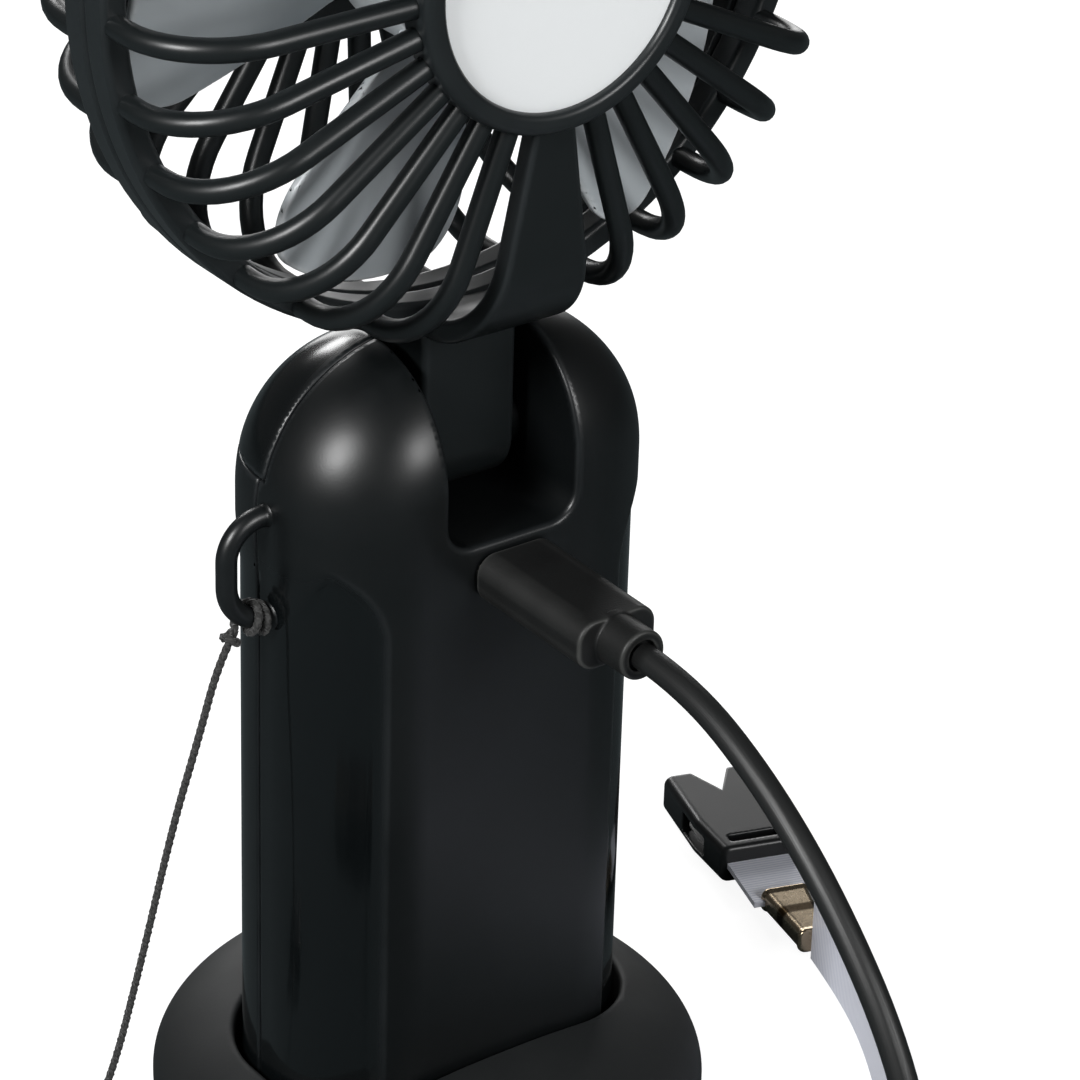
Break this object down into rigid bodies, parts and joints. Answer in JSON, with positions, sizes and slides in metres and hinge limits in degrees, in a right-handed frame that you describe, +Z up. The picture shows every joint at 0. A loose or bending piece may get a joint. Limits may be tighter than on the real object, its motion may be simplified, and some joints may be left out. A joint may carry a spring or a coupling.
{
  "type": "rechargeable personal fan",
  "caption": "Small black rechargeable fan on a folding neck, with a caged impeller, battery handle in a round desk base, charging lead and lanyard.",
  "frame": {"origin": "centre of the desk base's underside, on the surface it stands on", "axes": "+Z up along the handle; +Y to the rear, where the charging lead plugs in; +X towards the lanyard eyelet"},
  "size_m": [0.1655, 0.1544, 0.2008],
  "materials": {
    "satin_abs": "satin black moulded ABS of the handle",
    "base_abs": "matte black moulded ABS of the desk base",
    "grille_pp": "satin black moulded polypropylene of the grilles and neck",
    "blade_pc": "smoke grey translucent moulded polycarbonate",
    "label_paper": "white self-adhesive vinyl disc, left bare",
    "cap_abs": "black moulded ABS cap and button",
    "lamp_pmma": "clear moulded acrylic light pipes",
    "steel": "turned and rolled steel",
    "bronze": "sintered bronze",
    "nickel": "nickel-plated pressed steel",
    "rubber_pad": "moulded rubber ring",
    "cable_tpe": "extruded and overmoulded black TPE",
    "board_fr4": "green solder-masked FR4",
    "cell_wrap": "shrink-wrapped lithium cell",
    "buckle_pom": "black moulded acetal",
    "cord_nylon": "braided black nylon",
    "ribbon_satin": "woven white satin polyester ribbon",
    "crimp_metal": "pressed pale gold metal"
  },
  "bodies": {
    "base": {"base_shell": "base_abs", "base_plate": "base_abs", "base_pad": "rubber_pad", "base_screws": "steel", "cable_coil": "cable_tpe", "cable_tie": "cable_tpe", "usb_a_plug": "cable_tpe", "usb_a_shell": "nickel", "buckle_male": "buckle_pom", "buckle_female": "buckle_pom", "strap_tab": "ribbon_satin", "strap_crimp": "crimp_metal", "strap_run": "ribbon_satin", "strap_roll": "ribbon_satin"},
    "handle": {"handle_rear_shell": "satin_abs", "handle_front_shell": "satin_abs", "handle_top_cover": "satin_abs", "lanyard_eyelet": "satin_abs", "battery_cell": "cell_wrap", "circuit_board": "board_fr4", "tact_switch": "cap_abs", "charge_lamps": "lamp_pmma", "usb_c_socket": "nickel", "hinge_pin": "steel", "hinge_washers": "satin_abs", "usb_c_plug": "cable_tpe", "usb_c_tongue": "nickel", "cable_free": "cable_tpe", "lanyard_knot": "cord_nylon", "lanyard_cord": "cord_nylon"},
    "head": {"neck": "grille_pp", "rear_grille": "grille_pp", "front_grille": "grille_pp", "front_cap": "cap_abs", "label_disc": "label_paper", "motor_can": "steel", "motor_bush": "bronze"},
    "rotor": {"impeller": "blade_pc", "motor_shaft": "steel"},
    "button": {"power_button": "cap_abs"}
  },
  "joints": [
    {"name": "handle_lift", "type": "slide", "parent": "base", "child": "handle", "axis": [0, 0, 1], "range_m": [0, 0.012], "deforming": ["cable_free", "lanyard_cord"]},
    {"name": "neck_fold", "type": "hinge", "parent": "handle", "child": "head", "pos_m": [0, 0, 0.091], "axis": [-1, 0, 0], "range_deg": [0, 65]},
    {"name": "fan_spin", "type": "hinge", "parent": "head", "child": "rotor", "pos_m": [0, 0, 0.154], "axis": [0, 1, 0], "continuous": true},
    {"name": "button_press", "type": "slide", "parent": "handle", "child": "button", "axis": [0, 1, 0], "range_m": [0, 0.0005], "stiffness_N_per_m": 2000}
  ]
}
